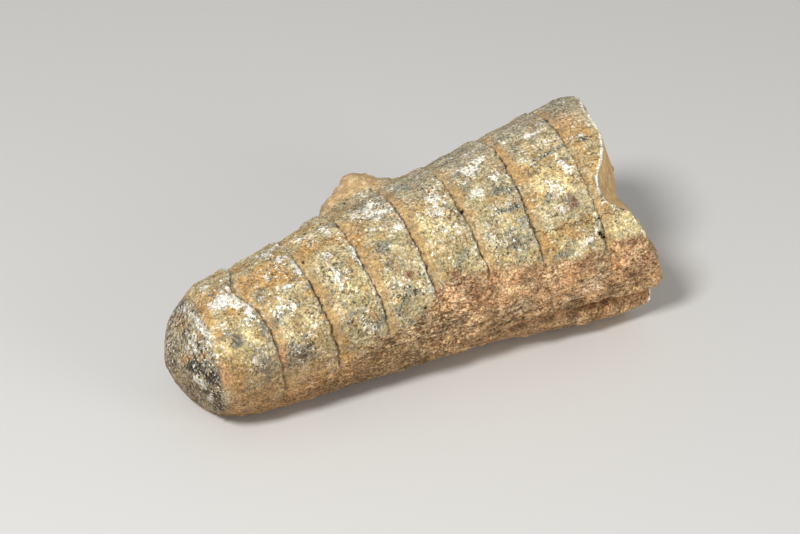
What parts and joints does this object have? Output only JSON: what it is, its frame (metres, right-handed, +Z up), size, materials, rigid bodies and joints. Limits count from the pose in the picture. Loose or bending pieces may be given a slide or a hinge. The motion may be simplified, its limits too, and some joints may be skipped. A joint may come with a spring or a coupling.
{
  "type": "fossil orthoceras",
  "caption": "Weathered straight-shelled cephalopod fossil: a tapering stone core with ringed chambers, one domed end and one broken end.",
  "frame": {"origin": "on the surface the stone lies on, under the centre of its bounding box", "axes": "+X along the stone towards its large broken end, +Z up, -Y towards the flank with the crust and the ledge"},
  "size_m": [0.0705, 0.032, 0.0303],
  "materials": {
    "weathered_limestone": "rough"
  },
  "bodies": {
    "root": {"orthoceras_core": "weathered_limestone"}
  },
  "joints": []
}
